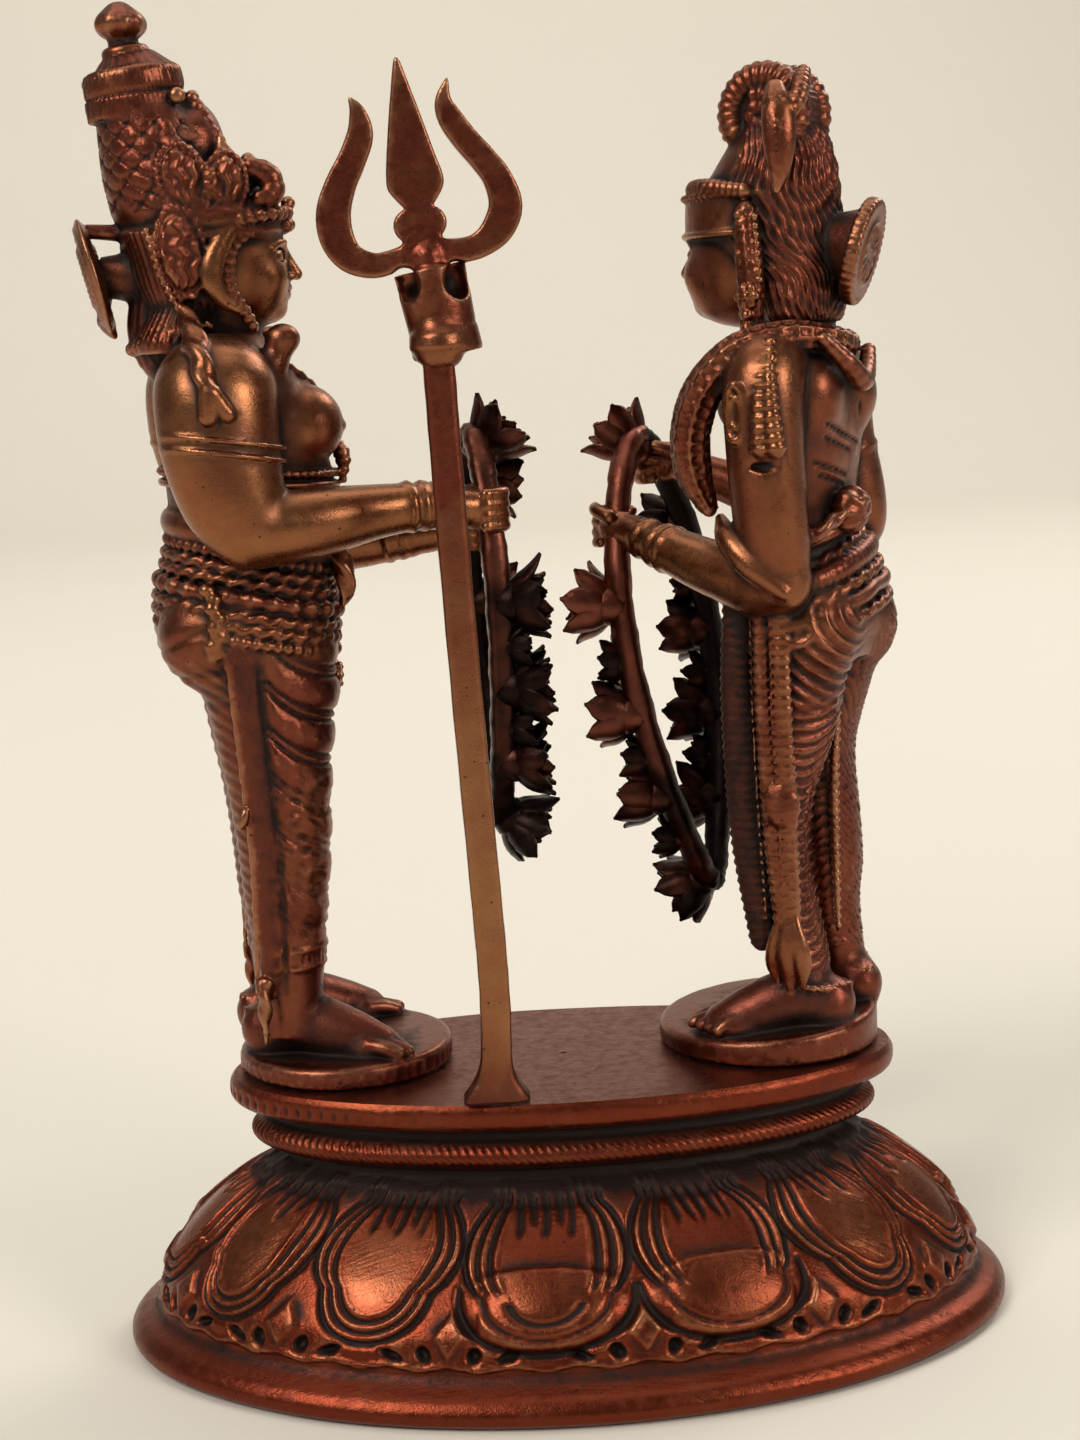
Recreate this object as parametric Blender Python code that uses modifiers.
"""A cast copper pair of deities exchanging garlands on an oval lotus base, with a
trident standing at the near edge.

Units: the numbers below are millimetres; MM turns them into metres.
Origin: centre of the underside of the lotus base. +Z up, +X from the left figure
(Parvati) to the right figure (Shiva), -Y towards the side with the trident.
Every object is one casting or one assembled piece of it; neighbours keep a gap of
GAP. Figures are laid out in their own frames: (forward, left, up).
"""

import math

import bmesh
import bpy
import numpy as np
from mathutils import Matrix, Vector

MM = 0.001
GAP = 0.3

# ---- lotus base ----
# rows of (half width in X, half depth in Y, height)
BASE_ROWS = (
    (52.8, 32.1, 0.0),
    (54.0, 33.3, 0.9),
    (54.0, 33.3, 2.1),
    (53.0, 32.4, 3.3),
    (51.2, 30.6, 4.1),
    (50.5, 29.8, 5.0),
    (50.2, 29.5, 7.0),
    (49.2, 28.6, 9.2),
    (47.6, 27.1, 11.4),
    (45.7, 25.2, 13.6),
    (43.2, 22.9, 16.0),
    (40.6, 20.4, 18.4),
    (38.2, 18.3, 20.4),
    (36.0, 16.5, 21.8),
    (34.4, 15.3, 22.6),
    (34.4, 15.2, 23.6),
    (36.9, 16.6, 24.2),
    (38.1, 17.5, 25.1),
    (38.1, 17.5, 26.1),
    (36.9, 16.6, 27.0),
    (36.0, 15.8, 27.6),
    (36.6, 16.2, 28.7),
    (39.9, 18.2, 29.3),
    (40.5, 18.7, 30.0),
    (40.5, 18.7, 31.7),
    (39.9, 18.2, 32.4),
)
PLATE_TOP = 32.4
PETALS = 14
PETAL_LOW, PETAL_HIGH = 6.5, 20.5
PETAL_BULGE = 1.3
BASE_AROUND = 140

# ---- figures: frame origin (world X, Y) and the heading of "forward" in degrees ----
PARVATI_AT, PARVATI_HEADING = (-29.0, 4.0), 8.0
SHIVA_AT, SHIVA_HEADING = (28.9, 1.4), 143.0
PARVATI_PLATE = (-26.3, 2.5, 13.1)  # world X, Y, radius
SHIVA_PLATE = (25.6, 2.2, 13.6)
PLATE_LOW = PLATE_TOP + GAP
FOOT_Z = 35.4

# ---- trident, on a plane square to Y ----
TRIDENT_Y = -17.0
TRIDENT_BASE_Y = -16.5
SHAFT_WIDTH, SHAFT_DEPTH = 3.5, 3.0
HEAD_THICK = 1.9

VOXEL = 0.45
TRIANGLES = {
    "lotus_base": 2900,
    "parvati_figure": 2250,
    "shiva_figure": 2250,
    "trident": 560,
    "parvati_garland": 780,
    "shiva_garland": 780,
}


def new_collection(name):
    made = bpy.data.collections.new(name)
    bpy.context.scene.collection.children.link(made)
    return made


class Clay:
    """Closed shapes gathered in one mesh, placed by a frame of its own."""

    def __init__(self, at=(0.0, 0.0), heading=0.0):
        self.bm = bmesh.new()
        self.frame = Matrix.Translation((at[0], at[1], 0.0)) @ Matrix.Rotation(
            math.radians(heading), 4, "Z"
        )

    def ball(self, c, r, tilt=0.0, turn=0.0):
        """Ellipsoid; tilt leans it about the sideways axis, turn about the vertical."""
        m = (
            self.frame
            @ Matrix.Translation(c)
            @ Matrix.Rotation(math.radians(turn), 4, "Z")
            @ Matrix.Rotation(math.radians(tilt), 4, "Y")
            @ Matrix.Diagonal((*r, 1.0))
        )
        bmesh.ops.create_uvsphere(self.bm, u_segments=20, v_segments=12, radius=1.0, matrix=m)

    def drum(self, a, b, ra, rb, sides=24):
        """Cone or cylinder from point a to point b."""
        a, b = Vector(a), Vector(b)
        d = b - a
        m = (
            self.frame
            @ Matrix.Translation((a + b) / 2)
            @ Vector((0, 0, 1)).rotation_difference(d).to_matrix().to_4x4()
        )
        bmesh.ops.create_cone(
            self.bm, cap_ends=True, cap_tris=True, segments=sides,
            radius1=ra, radius2=rb, depth=d.length, matrix=m,
        )

    def box(self, c, size, turn=0.0, tilt=0.0):
        m = (
            self.frame
            @ Matrix.Translation(c)
            @ Matrix.Rotation(math.radians(turn), 4, "Z")
            @ Matrix.Rotation(math.radians(tilt), 4, "Y")
            @ Matrix.Diagonal((*size, 1.0))
        )
        bmesh.ops.create_cube(self.bm, size=1.0, matrix=m)

    def tube(self, points, radii, flat=1.0, flat_axis=None, steps=4, sides=2):
        """Round rod along a smooth path; flat squeezes it along flat_axis."""
        curve = bpy.data.curves.new("path", "CURVE")
        curve.dimensions = "3D"
        curve.bevel_depth = 1.0
        curve.bevel_resolution = sides
        curve.use_fill_caps = True
        curve.resolution_u = steps
        spline = curve.splines.new("NURBS")
        spline.points.add(len(points) - 1)
        radii = [radii] * len(points) if isinstance(radii, (int, float)) else radii
        for point, p, r in zip(spline.points, points, radii):
            point.co = (*p, 1.0)
            point.radius = r
        spline.order_u = min(3, len(points))
        spline.use_endpoint_u = True
        obj = bpy.data.objects.new("path", curve)
        mesh = obj.to_mesh()
        if flat_axis is not None:
            axis = Vector(flat_axis).normalized()
            centre = np.array([list(p) for p in points])
            for v in mesh.vertices:
                near = Vector(nearest_on(centre, np.array(v.co)))
                off = v.co - near
                v.co = near + off - axis * off.dot(axis) * (1 - flat)
        mesh.transform(self.frame)
        self.bm.from_mesh(mesh)
        obj.to_mesh_clear()
        bpy.data.objects.remove(obj)
        bpy.data.curves.remove(curve)

    def loft(self, rows, n=28, power=2.0):
        """Closed stack of level ovals: rows of (z, back, front, right, left)."""
        rings = []
        for z, back, front, right, left in rows:
            cx, cy = (back + front) / 2, (left - right) / 2
            ax, ay = (front - back) / 2, (left + right) / 2
            ring = []
            for i in range(n):
                t = 2 * math.pi * i / n
                c, s = math.cos(t), math.sin(t)
                k = (abs(c) ** power + abs(s) ** power) ** (-1 / power)
                ring.append(self.bm.verts.new(self.frame @ Vector((cx + ax * c * k, cy + ay * s * k, z))))
            rings.append(ring)
        for low, high in zip(rings, rings[1:]):
            for i in range(n):
                j = (i + 1) % n
                self.bm.faces.new((low[i], low[j], high[j], high[i]))
        self.bm.faces.new(list(reversed(rings[0])))
        self.bm.faces.new(rings[-1])

    def finish(self, name, collection, material, target, voxel=VOXEL, smooth=2):
        bmesh.ops.recalc_face_normals(self.bm, faces=self.bm.faces)
        bmesh.ops.scale(self.bm, vec=(MM, MM, MM), verts=self.bm.verts)
        mesh = bpy.data.meshes.new(name)
        self.bm.to_mesh(mesh)
        self.bm.free()
        obj = bpy.data.objects.new(name, mesh)
        collection.objects.link(obj)
        mesh.materials.append(material)
        remesh = obj.modifiers.new("one_body", "REMESH")
        remesh.mode = "VOXEL"
        remesh.voxel_size = voxel * MM
        remesh.use_smooth_shade = True
        if smooth:
            soft = obj.modifiers.new("soften", "SMOOTH")
            soft.factor = 0.5
            soft.iterations = smooth
        bpy.context.view_layer.update()
        graph = bpy.context.evaluated_depsgraph_get()
        count = len(obj.evaluated_get(graph).data.polygons)
        fewer = obj.modifiers.new("fewer", "DECIMATE")
        fewer.ratio = min(1.0, target / (2.0 * count))
        return obj


def nearest_on(path, p):
    best, gap = path[0], 1e9
    for a, b in zip(path, path[1:]):
        d = b - a
        t = min(1.0, max(0.0, float((p - a) @ d) / max(1e-9, float(d @ d))))
        q = a + t * d
        g = float((p - q) @ (p - q))
        if g < gap:
            best, gap = q, g
    return best


def copper(name, colour, rough):
    made = bpy.data.materials.new(name)
    made.use_nodes = True
    shader = made.node_tree.nodes["Principled BSDF"]
    shader.inputs["Base Color"].default_value = (*colour, 1.0)
    shader.inputs["Metallic"].default_value = 1.0
    shader.inputs["Roughness"].default_value = rough
    made.diffuse_color = (*colour, 1.0)
    return made


def oval_point(a, b, t, z):
    return (a * math.cos(t), b * math.sin(t), z)


# ------------------------------------------------------------------ lotus base
def petal_lift(t, z):
    """How far the dome swells outwards at angle t and height z."""
    if not PETAL_LOW < z < PETAL_HIGH:
        return 0.0
    cell = 2 * math.pi / PETALS
    across = ((t + math.pi / 2 + cell / 2) % cell) / cell * 2 - 1
    up = (z - PETAL_LOW) / (PETAL_HIGH - PETAL_LOW)
    half = 0.86 * math.sin(math.pi * min(1.0, 0.32 + 0.75 * up)) ** 0.6
    swell = max(0.0, 1 - (across / max(half, 0.05)) ** 2)
    return PETAL_BULGE * math.sqrt(swell) * math.sin(math.pi * up) ** 0.5


def lotus_base(collection, material):
    bm = bmesh.new()
    rings = []
    for a, b, z in BASE_ROWS:
        ring = []
        for i in range(BASE_AROUND):
            t = 2 * math.pi * i / BASE_AROUND
            lift = petal_lift(t, z)
            ring.append(bm.verts.new(Vector(oval_point(a + lift, b + lift, t, z)) * MM))
        rings.append(ring)
    for low, high in zip(rings, rings[1:]):
        for i in range(BASE_AROUND):
            j = (i + 1) % BASE_AROUND
            bm.faces.new((low[i], low[j], high[j], high[i]))
    bm.faces.new(list(reversed(rings[0])))
    bm.faces.new(rings[-1])
    mesh = bpy.data.meshes.new("lotus_base")
    bm.to_mesh(mesh)
    bm.free()
    for face in mesh.polygons:
        face.use_smooth = len(face.vertices) == 4
    obj = bpy.data.objects.new("lotus_base", mesh)
    collection.objects.link(obj)
    mesh.materials.append(material)
    fewer = obj.modifiers.new("fewer", "DECIMATE")
    fewer.ratio = TRIANGLES["lotus_base"] / (2.0 * BASE_AROUND * (len(BASE_ROWS)))
    return obj


def foot_plate(clay, at, top_rise):
    """Round plate under a figure, in world coordinates."""
    x, y, r = at
    n = 40
    rings = []
    for rr, rise in ((r - 0.5, 0.0), (r, 0.5), (r, 1.6), (r - 0.9, 2.3)):
        ring = []
        for i in range(n):
            t = 2 * math.pi * i / n
            px, py = x + rr * math.cos(t), y + rr * math.sin(t)
            slope = top_rise * (px - x + r) / (2 * r) if rise > 0.4 else 0.0
            ring.append(clay.bm.verts.new((px, py, PLATE_LOW + rise + slope * (rise / 2.3))))
        rings.append(ring)
    for low, high in zip(rings, rings[1:]):
        for i in range(n):
            j = (i + 1) % n
            clay.bm.faces.new((low[i], low[j], high[j], high[i]))
    clay.bm.faces.new(list(reversed(rings[0])))
    clay.bm.faces.new(rings[-1])


def foot(clay, heel, toes, z, width):
    """Bare foot from heel to toes, with five toes fanned at the front."""
    heel, toes = Vector((*heel, z)), Vector((*toes, z))
    along = (toes - heel).normalized()
    side = Vector((-along.y, along.x, 0))
    reach = (toes - heel).length
    clay.tube(
        [heel + Vector((0, 0, 3.2)), heel + along * reach * 0.35 + Vector((0, 0, 3.6)),
         heel + along * reach * 0.7 + Vector((0, 0, 1.8)), heel + along * reach * 0.88 + Vector((0, 0, 1.1))],
        [3.2, 3.5, 3.0, 2.0],
    )
    clay.ball(heel + along * 1.2 + Vector((0, 0, 2.2)), (3.3, 3.1, 2.9))
    clay.ball(heel + along * reach * 0.72 + Vector((0, 0, 1.2)), (width * 0.62, width * 0.5, 1.5),
              turn=math.degrees(math.atan2(along.y, along.x)))
    for i in range(5):
        s = (i - 2) / 4.0
        tip = heel + along * (reach * (1.0 - 0.10 * abs(s + 0.5) * 1.4)) + side * width * s * 0.95
        root = heel + along * reach * 0.72 + side * width * s * 0.8
        clay.tube([root + Vector((0, 0, 1.5)), (root + tip) / 2 + Vector((0, 0, 1.5)), tip + Vector((0, 0, 0.9))],
                  [0.9, 0.95, 0.8])


def ring_around(clay, z, back, front, half, r, power=2.0, tilt=0.0):
    """Rope or belt around an oval section; tilt raises its front."""
    n = 16
    cx, ax = (back + front) / 2, (front - back) / 2
    pts = []
    for i in range(n + 1):
        t = 2 * math.pi * i / n
        c, s = math.cos(t), math.sin(t)
        k = (abs(c) ** power + abs(s) ** power) ** (-1 / power)
        pts.append((cx + ax * c * k, half * s * k, z + tilt * c))
    clay.tube(pts, r)


# ------------------------------------------------------------------- Parvati
PARVATI_TORSO = (  # z, back, front, right, left
    (82.0, -14.0, 3.0, 10.6, 10.6),
    (84.5, -16.8, 3.6, 11.6, 11.6),
    (88.0, -16.9, 3.8, 11.4, 11.4),
    (92.0, -15.8, 4.0, 9.8, 9.8),
    (96.0, -14.9, 4.2, 8.8, 8.8),
    (100.0, -14.8, 4.6, 8.8, 8.8),
    (104.0, -15.0, 4.4, 9.6, 9.6),
    (108.0, -15.4, 3.4, 10.6, 10.6),
    (112.0, -15.8, 2.4, 11.4, 11.4),
    (115.5, -15.6, 0.8, 10.6, 10.6),
    (118.0, -14.4, -1.8, 7.0, 7.0),
    (120.0, -13.0, -3.0, 5.2, 5.2),
)
PARVATI_LEG = (  # z, back, front, half width; about the middle of one leg
    (84.0, -14.2, 3.0, 6.3),
    (79.0, -12.3, 3.2, 6.2),
    (72.0, -11.0, 2.2, 5.8),
    (66.0, -10.0, 1.9, 5.4),
    (59.0, -9.3, 1.4, 5.1),
    (53.0, -8.9, 0.8, 4.7),
    (46.0, -8.0, 0.0, 4.1),
    (41.0, -7.6, -0.6, 3.7),
    (37.5, -7.2, -1.2, 3.2),
)
LEG_APART = 5.0


def parvati(collection, cutters, material):
    c = Clay(PARVATI_AT, PARVATI_HEADING)
    c.loft(PARVATI_TORSO, power=2.3)
    for side in (-1, 1):
        mid = side * LEG_APART
        c.loft([(z, b, f, w - mid, w + mid) for z, b, f, w in PARVATI_LEG], n=20)
        c.ball((0.6, side * 4.9, 109.4), (5.0, 4.9, 4.9))
        c.ball((-10.4, side * 5.6, 85.6), (6.6, 5.8, 6.4))
    # cloth between the legs, and the hanging front and side panels
    c.loft([(84.0, -12.0, 2.6, 6.0, 6.0), (66.0, -8.6, 1.2, 4.4, 4.4), (47.0, -6.8, 0.0, 3.0, 3.0), (41.5, -6.0, -0.6, 2.4, 2.4)], n=16)
    c.tube([(-8.6, -11.6, 90.0), (-8.2, -11.4, 76.0), (-7.0, -10.2, 60.0), (-6.6, -9.2, 46.0), (-7.2, -8.9, 38.2)], [1.6, 1.5, 1.4, 1.4, 1.7])
    c.tube([(-12.6, -10.6, 88.5), (-12.9, -11.2, 85.0), (-12.2, -11.0, 80.5), (-11.4, -10.2, 77.0)], [1.4, 1.7, 1.3, 0.9])
    # belts
    for z, back, front, half, r in ((96.2, -15.4, 4.4, 9.4, 1.0), (93.6, -16.2, 4.4, 10.2, 1.3), (90.4, -17.2, 4.4, 11.2, 1.3), (87.4, -17.4, 4.2, 11.8, 1.1)):
        ring_around(c, z, back, front, half, r, power=2.2)
    # head, hair, ears
    c.ball((-6.6, 0, 127.8), (7.3, 6.4, 7.9))
    c.ball((-3.0, 0, 124.4), (3.2, 3.6, 2.8))
    c.ball((0.2, 0, 127.7), (1.5, 1.1, 2.0))
    c.ball((-10.6, 0, 127.0), (6.2, 7.0, 7.6))
    c.tube([(-14.6, 0, 123.5), (-15.2, 0, 120.5), (-14.2, 0, 118.0)], [3.6, 3.2, 3.0])
    ring_around(c, 119.4, -17.0, -1.6, 7.4, 1.1, tilt=-0.4)
    for side in (-1, 1):
        c.tube([(-5.6, side * 7.0, 131.5), (-4.9, side * 7.8, 127.0), (-5.2, side * 7.9, 122.6), (-6.4, side * 8.6, 120.4)], [1.5, 1.7, 1.9, 1.4])
        c.tube([(-11.6, side * 7.2, 133.0), (-12.6, side * 7.4, 129.0), (-12.2, side * 7.8, 124.4), (-11.4, side * 8.6, 120.6)], [1.6, 2.0, 1.7, 1.2])
        c.tube([(-9.8, side * 9.6, 121.5), (-9.6, side * 13.0, 117.6), (-9.0, side * 15.2, 112.8), (-8.4, side * 15.8, 108.8)], [1.3, 1.5, 1.4, 0.9])
    # crown leaning back: band, crest leaves, tapering body, rings, bud
    c.loft([(131.6, -17.8, 0.2, 7.6, 7.6), (133.4, -19.0, 0.5, 8.0, 8.0), (134.6, -19.3, -1.0, 7.9, 7.9), (138.0, -20.0, -6.0, 7.3, 7.3),
            (142.5, -20.3, -7.0, 6.5, 6.5), (145.5, -20.2, -9.6, 5.5, 5.5), (149.0, -19.6, -11.2, 4.3, 4.3)], n=24)
    c.ball((-4.9, 0, 136.8), (3.0, 3.2, 2.6))
    c.ball((-8.6, 0, 138.6), (2.0, 4.6, 3.4))
    for side in (-1, 1):
        c.ball((-7.4, side * 6.8, 137.4), (3.0, 1.8, 4.0))
    lean = Vector((-0.11, 0, 1)).normalized()
    for (u, z), r, tall in (((-15.4, 147.4), 5.9, 1.5), ((-15.6, 145.2), 5.3, 1.2), ((-15.6, 149.4), 4.9, 1.3)):
        centre = Vector((u, 0, z))
        c.drum(centre - lean * tall / 2, centre + lean * tall / 2, r, r)
    c.drum((-15.7, 0, 149.6), (-16.4, 0, 151.8), 3.9, 2.2)
    c.drum((-16.4, 0, 151.2), (-16.8, 0, 153.6), 1.8, 2.9)
    c.drum((-16.8, 0, 153.6), (-17.0, 0, 157.4), 2.9, 0.4)
    # disc behind the head on its stem
    c.drum((-16.0, 0, 127.2), (-20.6, 0, 127.0), 1.8, 2.4)
    c.drum((-20.0, 0, 127.1), (-21.8, 0, 126.8), 6.9, 6.6, sides=32)
    # arms: the near (right) one level, the far (left) one lower
    c.tube([(-8.8, -7.6, 115.2), (-9.3, -10.8, 113.6), (-9.2, -12.2, 107.0), (-7.8, -12.8, 100.4), (-5.4, -12.6, 97.9), (-1.0, -12.6, 98.4)],
           [5.0, 5.7, 5.4, 4.8, 3.8, 3.2])
    c.tube([(-5.6, -12.8, 98.4), (1.0, -12.4, 98.8), (8.0, -11.2, 99.5), (13.6, -10.2, 99.7)], [4.3, 3.9, 3.1, 2.5])
    c.ball((17.4, -8.6, 99.0), (3.8, 2.3, 2.5), tilt=10, turn=20)
    c.ball((21.4, -6.6, 98.2), (2.7, 2.8, 2.7))
    c.tube([(-8.8, 7.6, 115.2), (-9.3, 10.8, 113.6), (-9.0, 12.4, 107.0), (-7.0, 13.0, 99.4), (-4.0, 12.8, 95.9), (0.0, 12.6, 94.6)],
           [5.0, 5.7, 5.4, 4.8, 3.8, 3.2])
    c.tube([(-4.6, 12.8, 96.2), (2.0, 12.4, 94.4), (9.0, 11.2, 94.2), (14.0, 10.2, 94.8)], [4.4, 4.0, 3.2, 2.5])
    c.ball((17.6, 9.2, 95.0), (3.8, 2.3, 2.5), tilt=-6, turn=-12)
    c.ball((21.4, 7.6, 95.0), (2.7, 2.8, 2.7))
    # feet, in this figure's own frame
    foot(c, (-7.0, 3.4 - LEG_APART - 1.4), (9.2, -10.4), FOOT_Z - 0.5, 6.6)
    foot(c, (-7.0, LEG_APART - 1.2), (10.0, 8.2), FOOT_Z - 0.5, 6.6)
    foot_plate(c, PARVATI_PLATE, 0.4)
    body = c.finish("parvati_figure", collection, material, TRIANGLES["parvati_figure"])
    cut_room(body, PARVATI_AT, PARVATI_HEADING, PARVATI_LOOP, cutters)
    return body


# --------------------------------------------------------------------- Shiva
SHIVA_TORSO = (
    (80.0, -9.4, 2.2, 10.6, 9.4),
    (84.0, -10.8, 2.8, 11.6, 10.4),
    (88.0, -9.8, 2.8, 10.6, 9.8),
    (92.0, -8.0, 2.8, 8.6, 8.4),
    (96.0, -7.4, 3.0, 7.8, 8.0),
    (100.0, -7.8, 3.6, 8.2, 8.8),
    (105.0, -8.4, 4.4, 9.2, 10.2),
    (110.0, -8.6, 4.4, 9.8, 11.4),
    (114.0, -8.0, 3.2, 9.0, 10.6),
    (117.0, -6.4, 1.6, 6.2, 6.8),
    (121.0, -5.0, 2.2, 4.6, 4.6),
)
SHIVA_LEG = (
    (84.0, -9.6, 2.2, 6.0),
    (78.0, -8.6, 2.2, 5.8),
    (72.0, -7.4, 2.0, 5.4),
    (64.0, -6.8, 1.6, 4.9),
    (56.0, -6.8, 0.9, 4.5),
    (50.0, -6.8, 0.4, 4.1),
    (44.0, -6.8, -0.2, 3.7),
    (38.0, -7.0, -0.4, 3.4),
)


def shiva(collection, cutters, material):
    c = Clay(SHIVA_AT, SHIVA_HEADING)
    c.loft(SHIVA_TORSO, power=2.2)
    for side in (-1, 1):
        mid = side * LEG_APART - 1.0
        c.loft([(z, b, f, w - mid, w + mid) for z, b, f, w in SHIVA_LEG], n=20)
        c.ball((-5.4, side * 5.2 - 0.6, 83.6), (5.6, 5.4, 6.2))
        c.ball((1.6, side * 4.8 + 0.8, 109.6), (3.6, 4.6, 3.4))
    # belts, knot at the back
    for z, back, front, half, r in ((93.4, -8.0, 3.0, 8.7, 1.0), (90.6, -9.2, 3.2, 9.6, 1.2), (87.4, -10.2, 3.2, 10.6, 1.2), (84.2, -10.8, 3.2, 11.2, 0.9)):
        ring_around(c, z, back, front, half, r)
    c.ball((-9.6, -1.0, 92.4), (2.2, 3.0, 2.4))
    # hanging sashes on the near side
    c.tube([(-3.2, 10.0, 90.0), (-3.2, 10.4, 76.0), (-3.6, 9.4, 60.0), (-4.4, 8.4, 47.0), (-4.6, 8.0, 41.0)], [1.8, 1.9, 1.7, 1.6, 2.0])
    c.tube([(0.4, 9.6, 88.0), (0.8, 9.6, 76.0), (0.4, 8.8, 60.0), (-0.8, 7.8, 46.0)], [1.5, 1.5, 1.4, 1.4])
    c.tube([(-6.6, 8.8, 84.0), (-6.8, 8.8, 70.0), (-6.8, 7.6, 56.0), (-6.6, 7.0, 48.0)], [1.1, 1.1, 1.1, 1.1])
    c.tube([(-1.8, -11.2, 90.0), (-1.6, -11.2, 76.0), (-1.8, -10.6, 60.0), (-2.6, -9.8, 47.0)], [1.6, 1.7, 1.5, 1.4])
    # head, hair cone, coiled bun with a cobra hanging on its near side
    c.ball((4.8, 0, 126.4), (7.0, 6.4, 8.2))
    c.ball((8.6, 0, 121.6), (3.0, 3.4, 2.8))
    c.ball((11.6, 0, 125.2), (1.5, 1.1, 1.9))
    c.loft([(120.0, -5.4, 2.0, 6.0, 6.0), (124.0, -6.2, 5.0, 7.2, 7.2), (129.0, -6.0, 10.0, 7.5, 7.5), (133.0, -5.4, 10.8, 7.3, 7.3),
            (136.5, -5.0, 8.0, 6.4, 6.4), (140.0, -4.2, 5.6, 5.2, 5.2), (143.5, -3.2, 4.0, 3.8, 3.8)], n=24)
    c.tube([(0.4, 5.4, 142.6), (0.3, 1.0, 142.4), (0.2, -3.6, 142.2)], [5.4, 5.6, 5.2])
    c.tube([(0.6, 6.2, 146.6), (0.4, 7.2, 145.0), (0.2, 8.6, 141.6), (0.0, 8.8, 137.4)], [1.2, 1.7, 1.9, 1.2])
    c.drum((0.4, 5.8, 142.6), (0.4, 7.0, 142.6), 3.2, 2.4)
    c.loft([(129.4, -4.0, 11.5, 7.9, 7.9), (133.6, -4.0, 11.4, 7.8, 7.8)], n=24)
    for side in (-1, 1):
        c.tube([(2.2, side * 7.6, 131.5), (1.8, side * 8.2, 127.0), (1.6, side * 8.2, 122.5), (2.0, side * 8.4, 118.5)], [1.7, 2.0, 1.9, 1.5])
    c.drum((-4.6, 0, 128.8), (-9.2, 0, 126.8), 2.0, 3.2)
    c.drum((-8.9, 0, 126.9), (-10.7, 0, 126.4), 6.3, 6.3, sides=32)
    # snake round the neck, hanging down in front of the near shoulder
    c.tube([(1.0, -9.6, 114.0), (-4.2, -7.2, 116.6), (-6.8, 0.0, 117.6), (-5.6, 7.6, 117.2), (-1.6, 11.2, 116.0), (3.0, 12.0, 112.6),
            (5.4, 11.6, 107.0), (6.0, 11.0, 102.0), (5.6, 10.4, 98.8)], [1.6, 1.7, 1.8, 2.0, 2.2, 2.3, 2.2, 1.9, 1.2])
    c.tube([(-4.4, 12.6, 116.0), (-4.8, 14.8, 112.0), (-5.0, 15.4, 107.4), (-5.0, 15.2, 103.6)], [1.1, 1.3, 1.5, 1.1])
    # arms
    c.tube([(-2.6, 8.0, 114.4), (-3.0, 11.4, 112.6), (-3.4, 12.2, 105.0), (-3.8, 11.8, 97.0), (-3.8, 11.0, 91.0), (-1.4, 10.6, 88.6), (2.0, 10.0, 89.6)],
           [4.2, 4.6, 4.4, 4.3, 3.9, 3.2, 2.8])
    c.tube([(-3.6, 11.0, 90.4), (3.4, 9.8, 90.8), (10.4, 8.6, 92.8), (15.6, 7.6, 94.4)], [3.8, 3.4, 2.8, 2.2])
    c.ball((18.4, 6.6, 95.0), (3.0, 2.9, 2.9))
    c.tube([(-1.8, -6.2, 114.0), (-1.8, -8.6, 112.2), (-2.2, -9.8, 105.0), (-3.4, -10.6, 98.4), (-3.4, -11.0, 94.6), (-0.8, -11.2, 94.0), (2.0, -10.8, 95.2)],
           [4.2, 4.6, 4.4, 4.2, 3.8, 3.2, 2.8])
    c.tube([(-3.2, -11.4, 95.2), (3.4, -10.4, 96.4), (10.0, -8.2, 99.2), (16.4, -5.8, 101.8)], [3.6, 3.3, 2.8, 2.2])
    c.ball((19.4, -4.6, 102.6), (3.0, 2.8, 2.8))
    # feet turned outwards
    foot(c, (-6.2, 3.4), (6.8, 13.2), FOOT_Z + 0.2, 6.6)
    foot(c, (-5.6, -5.6), (8.0, -12.6), FOOT_Z + 0.2, 6.6)
    foot_plate(c, SHIVA_PLATE, 2.0)
    body = c.finish("shiva_figure", collection, material, TRIANGLES["shiva_figure"])
    cut_room(body, SHIVA_AT, SHIVA_HEADING, SHIVA_LOOP, cutters)
    return body


# ------------------------------------------------------------------ garlands
GARLAND_TOP, GARLAND_LOW = 106.0, 50.6
GARLAND_WIDE = 10.4
# (place along the drop from 0 at the top to 1 at the bottom, side)
SHIVA_FLOWERS = ((0.04, 0), (0.36, 1), (0.60, 1), (0.79, 1), (0.985, 0), (0.22, -1), (0.46, -1), (0.65, -1), (0.84, -1))
PARVATI_FLOWERS = ((0.05, 0), (0.42, -1), (0.64, -1), (0.84, -1), (0.985, 0), (0.13, 1), (0.46, 1), (0.66, 1), (0.84, 1))


BAND_RADIUS = 1.25
# forward at the top, forward at the bottom, sideways middle, top, low, half width
PARVATI_LOOP = (21.6, 23.0, 0.0, 107.4, 60.6, 8.6)
SHIVA_LOOP = (21.2, 12.2, -1.5, GARLAND_TOP, GARLAND_LOW, GARLAND_WIDE)
GAP_AROUND_BAND = 0.4


def on_loop(loop, down, side):
    """Point (forward, left, up) on a drop-shaped loop; down runs 0 to 1."""
    top_f, low_f, mid, top, low, half = loop
    wide = half * min(1.0, (math.sin(math.pi * down**0.82) + 0.02)) ** 0.8 if 0 < down < 1 else 0.0
    return (top_f + (low_f - top_f) * down, mid + side * wide, top + (low - top) * down)


def loop_path(loop):
    """Closed drop-shaped path, as points (forward, left, up)."""
    downs = [0.0, 0.02, 0.08, 0.16, 0.26, 0.38, 0.5, 0.62, 0.74, 0.85, 0.94, 0.985, 1.0]
    return [on_loop(loop, d, -1) for d in downs] + [on_loop(loop, d, 1) for d in downs[-2::-1]]


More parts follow.
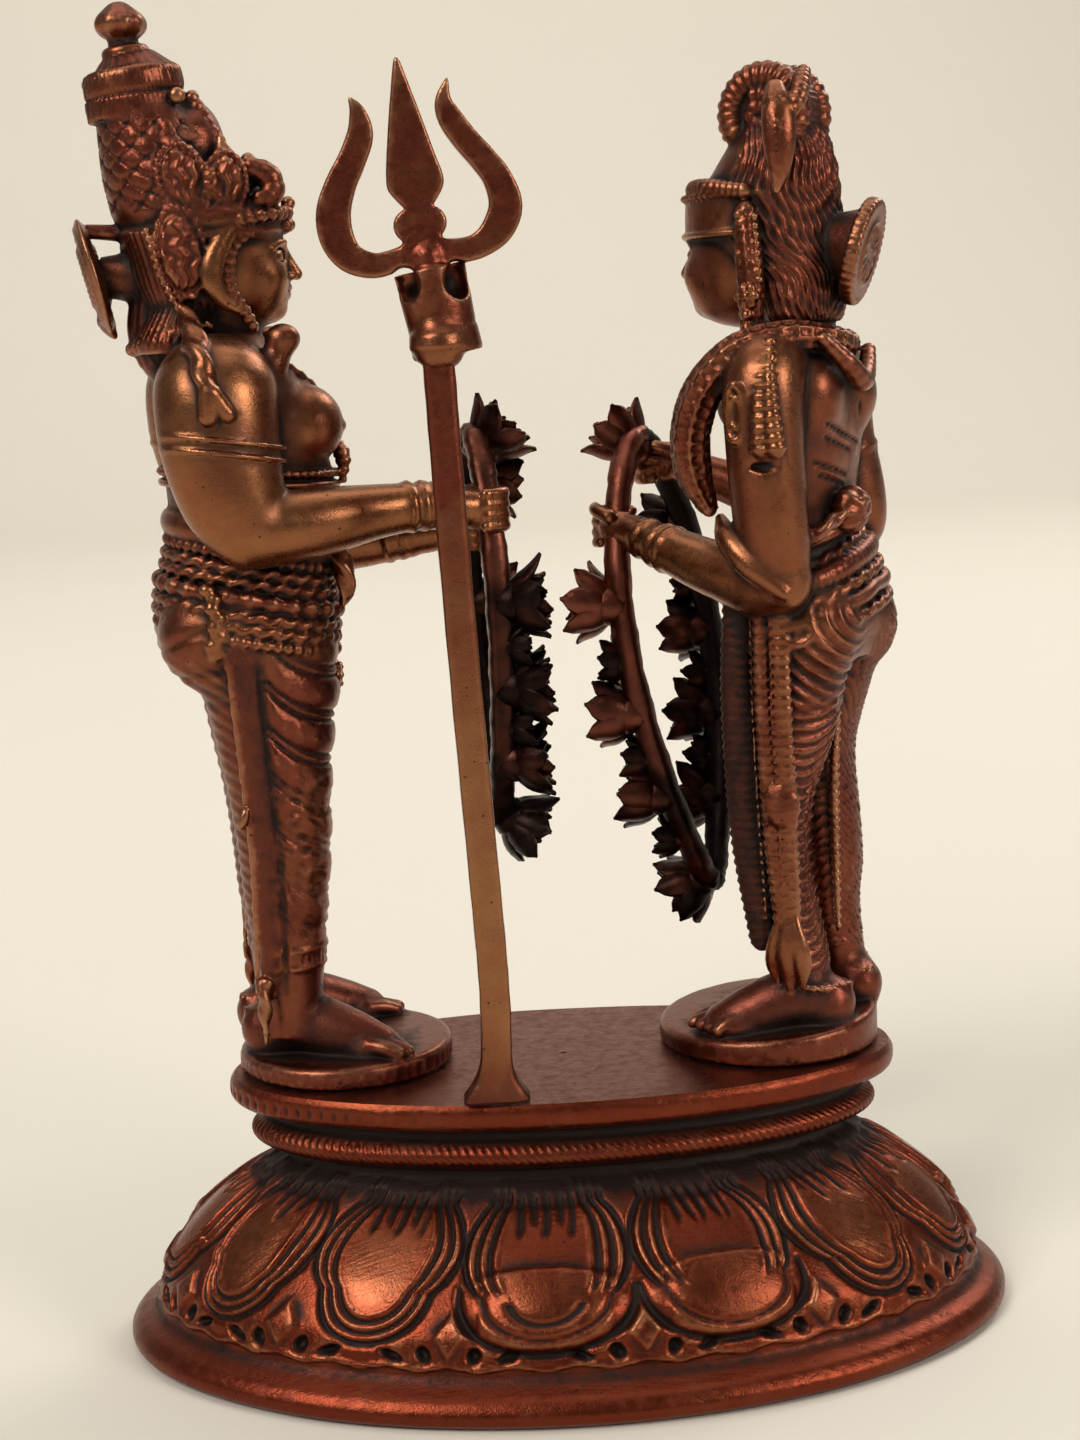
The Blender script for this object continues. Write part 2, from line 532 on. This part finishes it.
def cut_room(body, at, heading, loop, cutters):
    """Opens the fists around the garland, GAP clear of it."""
    c = Clay(at, heading)
    path = loop_path(loop)
    for part in (path[:6], path[-6:]):
        c.tube(part, BAND_RADIUS + GAP_AROUND_BAND, steps=3)
    bmesh.ops.remove_doubles(c.bm, verts=c.bm.verts, dist=0.001)
    bmesh.ops.recalc_face_normals(c.bm, faces=c.bm.faces)
    bmesh.ops.scale(c.bm, vec=(MM, MM, MM), verts=c.bm.verts)
    mesh = bpy.data.meshes.new(body.name + "_room")
    c.bm.to_mesh(mesh)
    c.bm.free()
    room = bpy.data.objects.new(body.name + "_room", mesh)
    cutters.objects.link(room)
    room.hide_render = True
    room.display_type = "WIRE"
    cut = body.modifiers.new("room_for_garland", "BOOLEAN")
    cut.operation = "DIFFERENCE"
    cut.solver = "EXACT"
    cut.object = room


def garland(name, at, heading, loop, flowers, collection, material):
    """Loop of band hanging in front of a figure, flowers on its forward side."""
    c = Clay(at, heading)
    c.tube(loop_path(loop), BAND_RADIUS, flat=0.75, flat_axis=(0, 1, 0), steps=3)
    for down, side in flowers:
        base = Vector(on_loop(loop, down, side))
        rise = 0.9 if down < 0.1 else (-0.6 if down > 0.95 else 0.1)
        out = Vector((1.0, side * 0.15, rise)).normalized()
        c.drum(base - out * 0.4, base + out * 3.4, 1.0, 1.8, sides=8)
        for i in range(6):
            turn = 2 * math.pi * i / 6
            a = out.orthogonal().normalized()
            b = out.cross(a)
            spread = a * math.cos(turn) + b * math.sin(turn)
            c.drum(base + out * 2.2 + spread * 0.8, base + out * 6.2 + spread * 3.4, 1.4, 0.4, sides=6)
    return c.finish(name, collection, material, TRIANGLES[name], voxel=0.34, smooth=0)


# ------------------------------------------------------------------- trident
# outline points (X, Z) of the leaf blade, centres of the two lobes under it, and
# middle line with half width (X, Z, half) of each prong from its tip to the neck
BLADE = ((-14.4, 131.6), (-16.2, 133.5), (-16.8, 134.9), (-16.5, 139.2), (-15.9, 144.4), (-15.2, 148.0), (-13.7, 144.3), (-12.6, 141.1), (-11.5, 137.8), (-10.7, 135.4), (-11.0, 133.9), (-12.6, 131.6))
BALL = ((-14.5, 130.4), (-12.3, 130.7))
LEFT_PRONG = ((-20.3, 143.8, 0.15), (-19.5, 142.3, 0.87), (-19.3, 140.0, 1.4), (-20.3, 137.4, 1.5), (-21.6, 134.9, 1.65), (-22.5, 132.1, 1.85), (-22.3, 129.4, 1.85), (-21.0, 127.3, 1.6), (-18.7, 126.4, 1.35), (-16.6, 126.7, 1.25), (-13.4, 127.6, 1.4))
RIGHT_PRONG = ((-9.9, 145.5, 0.15), (-10.4, 143.3, 0.87), (-9.8, 141.5, 1.3), (-8.3, 139.3, 1.4), (-6.5, 137.2, 1.45), (-5.0, 135.1, 1.55), (-4.2, 132.3, 1.8), (-5.1, 129.9, 1.75), (-6.9, 128.3, 1.4), (-9.0, 127.7, 1.3), (-12.6, 127.6, 1.4))


def smooth_rows(rows, between):
    """Catmull-Rom points through the rows."""
    rows = np.array(rows, float)
    ends = np.vstack([2 * rows[0] - rows[1], rows, 2 * rows[-1] - rows[-2]])
    made = []
    for i in range(len(rows) - 1):
        a, b, c, d = ends[i : i + 4]
        for k in range(between):
            t = k / between
            made.append(0.5 * (2 * b + (c - a) * t + (2 * a - 5 * b + 4 * c - d) * t**2 + (3 * b - a - 3 * c + d) * t**3))
    made.append(rows[-1])
    return [tuple(float(v) for v in row) for row in made]


def trident(collection, material):
    c = Clay()
    y = TRIDENT_Y
    shaft = ((-9.0, 33.6, TRIDENT_BASE_Y), (-8.8, 44.6, -16.6), (-9.3, 56.3, -16.7), (-10.5, 79.1, -16.9), (-11.5, 101.2, y), (-12.0, 114.1, y), (-12.2, 118.6, y))
    rings = []
    for x, z, yy in shaft:
        w, d = SHAFT_WIDTH / 2, SHAFT_DEPTH / 2
        rings.append([c.bm.verts.new((x + i * w, yy + j * d, z)) for i, j in ((-1, -1), (1, -1), (1, 1), (-1, 1))])
    for low, high in zip(rings, rings[1:]):
        for i in range(4):
            c.bm.faces.new((low[i], low[(i + 1) % 4], high[(i + 1) % 4], high[i]))
    c.bm.faces.new(list(reversed(rings[0])))
    c.bm.faces.new(rings[-1])
    # flared foot standing on the plate
    c.loft([(PLATE_LOW, -13.0, -5.2, 18.5, -14.4), (33.4, -12.4, -5.8, 18.5, -14.6), (35.6, -10.9, -7.2, 18.2, -15.0), (38.0, -10.6, -7.3, 18.0, -15.2)], n=20)
    # bell cup and the two-headed drum behind it
    c.loft([(116.6, -13.6, -10.0, -y + 1.7, y + 1.7), (117.8, -14.0, -9.8, -y + 2.2, y + 2.2), (119.8, -15.2, -9.0, -y + 3.0, y + 3.0), (121.0, -14.4, -9.8, -y + 2.4, y + 2.4), (121.8, -13.4, -10.8, -y + 1.5, y + 1.5)], n=20)
    c.drum((-10.7, y + 2.0, 117.2), (-11.7, y + 2.0, 121.6), 3.4, 2.9, sides=20)
    c.drum((-11.7, y + 2.0, 121.4), (-12.6, y + 2.0, 125.8), 2.9, 3.5, sides=20)
    # flat head: central blade, two-lobed ball, two curved prongs
    def slab(outline):
        front = [c.bm.verts.new((px, y - HEAD_THICK / 2, pz)) for px, pz in outline]
        back = [c.bm.verts.new((px, y + HEAD_THICK / 2, pz)) for px, pz in outline]
        n = len(outline)
        c.bm.faces.new(front)
        c.bm.faces.new(list(reversed(back)))
        for i in range(n):
            j = (i + 1) % n
            c.bm.faces.new((front[j], front[i], back[i], back[j]))

    slab(BLADE)
    for x, z in BALL:
        c.drum((x, y - HEAD_THICK / 2, z), (x, y + HEAD_THICK / 2, z), 1.75, 1.75, sides=20)
    c.drum((-13.0, y - HEAD_THICK / 2, 127.2), (-13.0, y + HEAD_THICK / 2, 127.2), 2.6, 2.6, sides=20)
    for prong in (LEFT_PRONG, RIGHT_PRONG):
        rows = smooth_rows(prong, 3)
        one, other = [], []
        for i, (x, z, half) in enumerate(rows):
            x0, z0, _ = rows[max(0, i - 1)]
            x1, z1, _ = rows[min(len(rows) - 1, i + 1)]
            reach = math.hypot(x1 - x0, z1 - z0)
            nx, nz = (z1 - z0) / reach, -(x1 - x0) / reach
            one.append((x + nx * half, z + nz * half))
            other.append((x - nx * half, z - nz * half))
        slab(one + other[::-1])
    # neck between the cup and the head
    c.tube([(-12.2, y, 120.6), (-12.2, y, 124.0), (-12.6, y, 126.4)], [1.5, 1.1, 1.4])
    return c.finish("trident", collection, material, TRIANGLES["trident"], voxel=0.36, smooth=0)


def main():
    for obj in list(bpy.data.objects):
        bpy.data.objects.remove(obj, do_unlink=True)
    scene = bpy.context.scene
    scene.unit_settings.system = "METRIC"
    scene.unit_settings.scale_length = 1.0
    pair = new_collection("wedding_pair")
    cutters = new_collection("cutters")
    cutters.hide_render = True
    base_copper = copper("base_copper", (0.42, 0.17, 0.09), 0.42)
    figure_copper = copper("figure_copper", (0.40, 0.16, 0.085), 0.40)
    garland_copper = copper("garland_copper", (0.13, 0.06, 0.04), 0.45)
    trident_copper = copper("trident_copper", (0.40, 0.19, 0.10), 0.38)
    lotus_base(pair, base_copper)
    parvati(pair, cutters, figure_copper)
    shiva(pair, cutters, figure_copper)
    trident(pair, trident_copper)
    garland("parvati_garland", PARVATI_AT, PARVATI_HEADING, PARVATI_LOOP, PARVATI_FLOWERS, pair, garland_copper)
    garland("shiva_garland", SHIVA_AT, SHIVA_HEADING, SHIVA_LOOP, SHIVA_FLOWERS, pair, garland_copper)


main()
